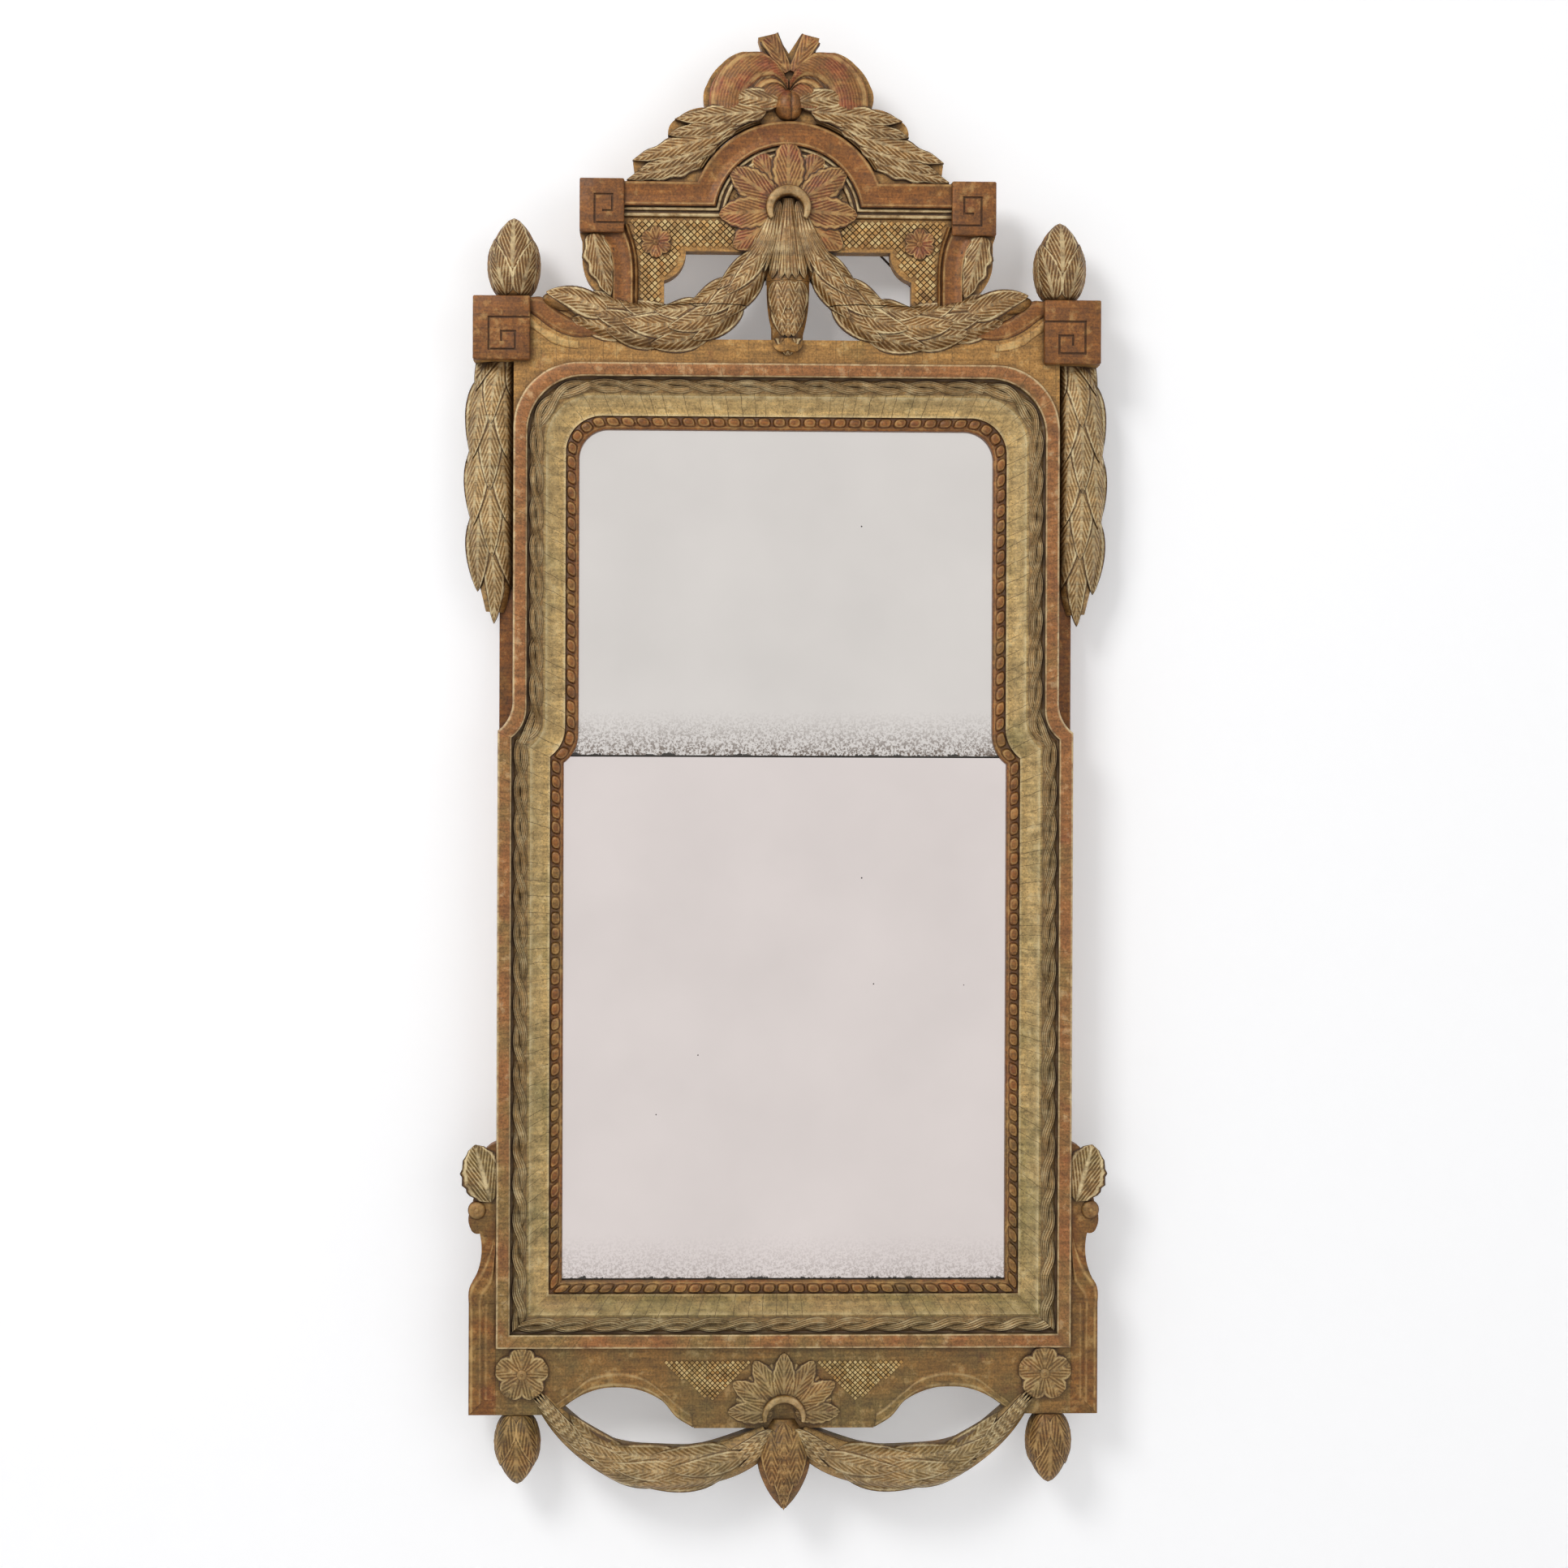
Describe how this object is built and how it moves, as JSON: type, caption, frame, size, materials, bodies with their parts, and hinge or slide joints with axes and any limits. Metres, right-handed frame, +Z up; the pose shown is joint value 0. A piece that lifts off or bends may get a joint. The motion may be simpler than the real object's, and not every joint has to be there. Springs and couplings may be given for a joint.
{
  "type": "giltwood wall mirror",
  "caption": "Tall carved giltwood wall mirror with two stacked plates, pierced crest with bow and garlands, leaf drops, finials and a pierced apron; hangs on an iron wire.",
  "frame": {"origin": "centre of the back face of the carcass top rail, on the wall plane, at the height of the moulding's outer top edge", "axes": "+Z up the mirror, +Y into the wall, so the front faces -Y; +X to the right seen from the front"},
  "size_m": [0.563, 0.0631, 1.2995],
  "materials": {
    "gilded_moulding": "worn water gilding over gesso, toned and cracked",
    "gilded_carving": "worn gilding with red bole and dark recesses",
    "gilded_board": "worn gilding, mostly toned gold and red bole",
    "old_pine": "bare aged softwood",
    "mirror_plate": "old silvered glass with foxing at the edges",
    "iron": "dark wrought iron"
  },
  "bodies": {
    "frame": {"apron_board": "gilded_board", "apron_flowers": "gilded_carving", "apron_pendant": "gilded_carving", "apron_rosette": "gilded_carving", "apron_swag_left": "gilded_carving", "apron_swag_right": "gilded_carving", "backboard_lower": "old_pine", "backboard_middle": "old_pine", "backboard_nails": "iron", "backboard_upper": "old_pine", "batten_screws": "iron", "bottom_finial_left": "gilded_carving", "bottom_finial_right": "gilded_carving", "bottom_rail": "old_pine", "corner_blocks": "gilded_board", "crest_arch": "gilded_board", "crest_batten": "old_pine", "crest_block_left": "gilded_board", "crest_block_right": "gilded_board", "crest_board": "gilded_board", "crest_bracket_left": "gilded_carving", "crest_bracket_right": "gilded_carving", "crest_florets": "gilded_carving", "crest_rosette": "gilded_carving", "drop_bud": "gilded_carving", "drop_stem": "gilded_carving", "finial_dowels": "old_pine", "glue_blocks": "old_pine", "laurel_spray_left": "gilded_carving", "laurel_spray_right": "gilded_carving", "lower_swag_left": "gilded_carving", "lower_swag_right": "gilded_carving", "mirror_plate_lower": "mirror_plate", "mirror_plate_upper": "mirror_plate", "moulding_bottom": "gilded_moulding", "moulding_corner_left": "gilded_moulding", "moulding_corner_right": "gilded_moulding", "moulding_lower_left": "gilded_moulding", "moulding_lower_right": "gilded_moulding", "moulding_shoulder_left": "gilded_moulding", "moulding_shoulder_right": "gilded_moulding", "moulding_top": "gilded_moulding", "moulding_upper_left": "gilded_moulding", "moulding_upper_right": "gilded_moulding", "ribbon_bow": "gilded_carving", "rosette_ring": "gilded_carving", "screw_eyes": "iron", "side_drop_left": "gilded_carving", "side_drop_right": "gilded_carving", "side_ear_left": "gilded_board", "side_ear_right": "gilded_board", "stile_left": "old_pine", "stile_right": "old_pine", "top_finial_left": "gilded_carving", "top_finial_right": "gilded_carving", "top_plank": "gilded_board", "top_rail": "old_pine", "upper_swag_left": "gilded_carving", "upper_swag_right": "gilded_carving"},
    "wire": {"hanging_wire": "iron"}
  },
  "joints": [
    {"name": "wire_swing", "type": "hinge", "parent": "frame", "child": "wire", "pos_m": [0, -0.022, 0.03], "axis": [-1, 0, 0], "range_deg": [0, 108]}
  ]
}
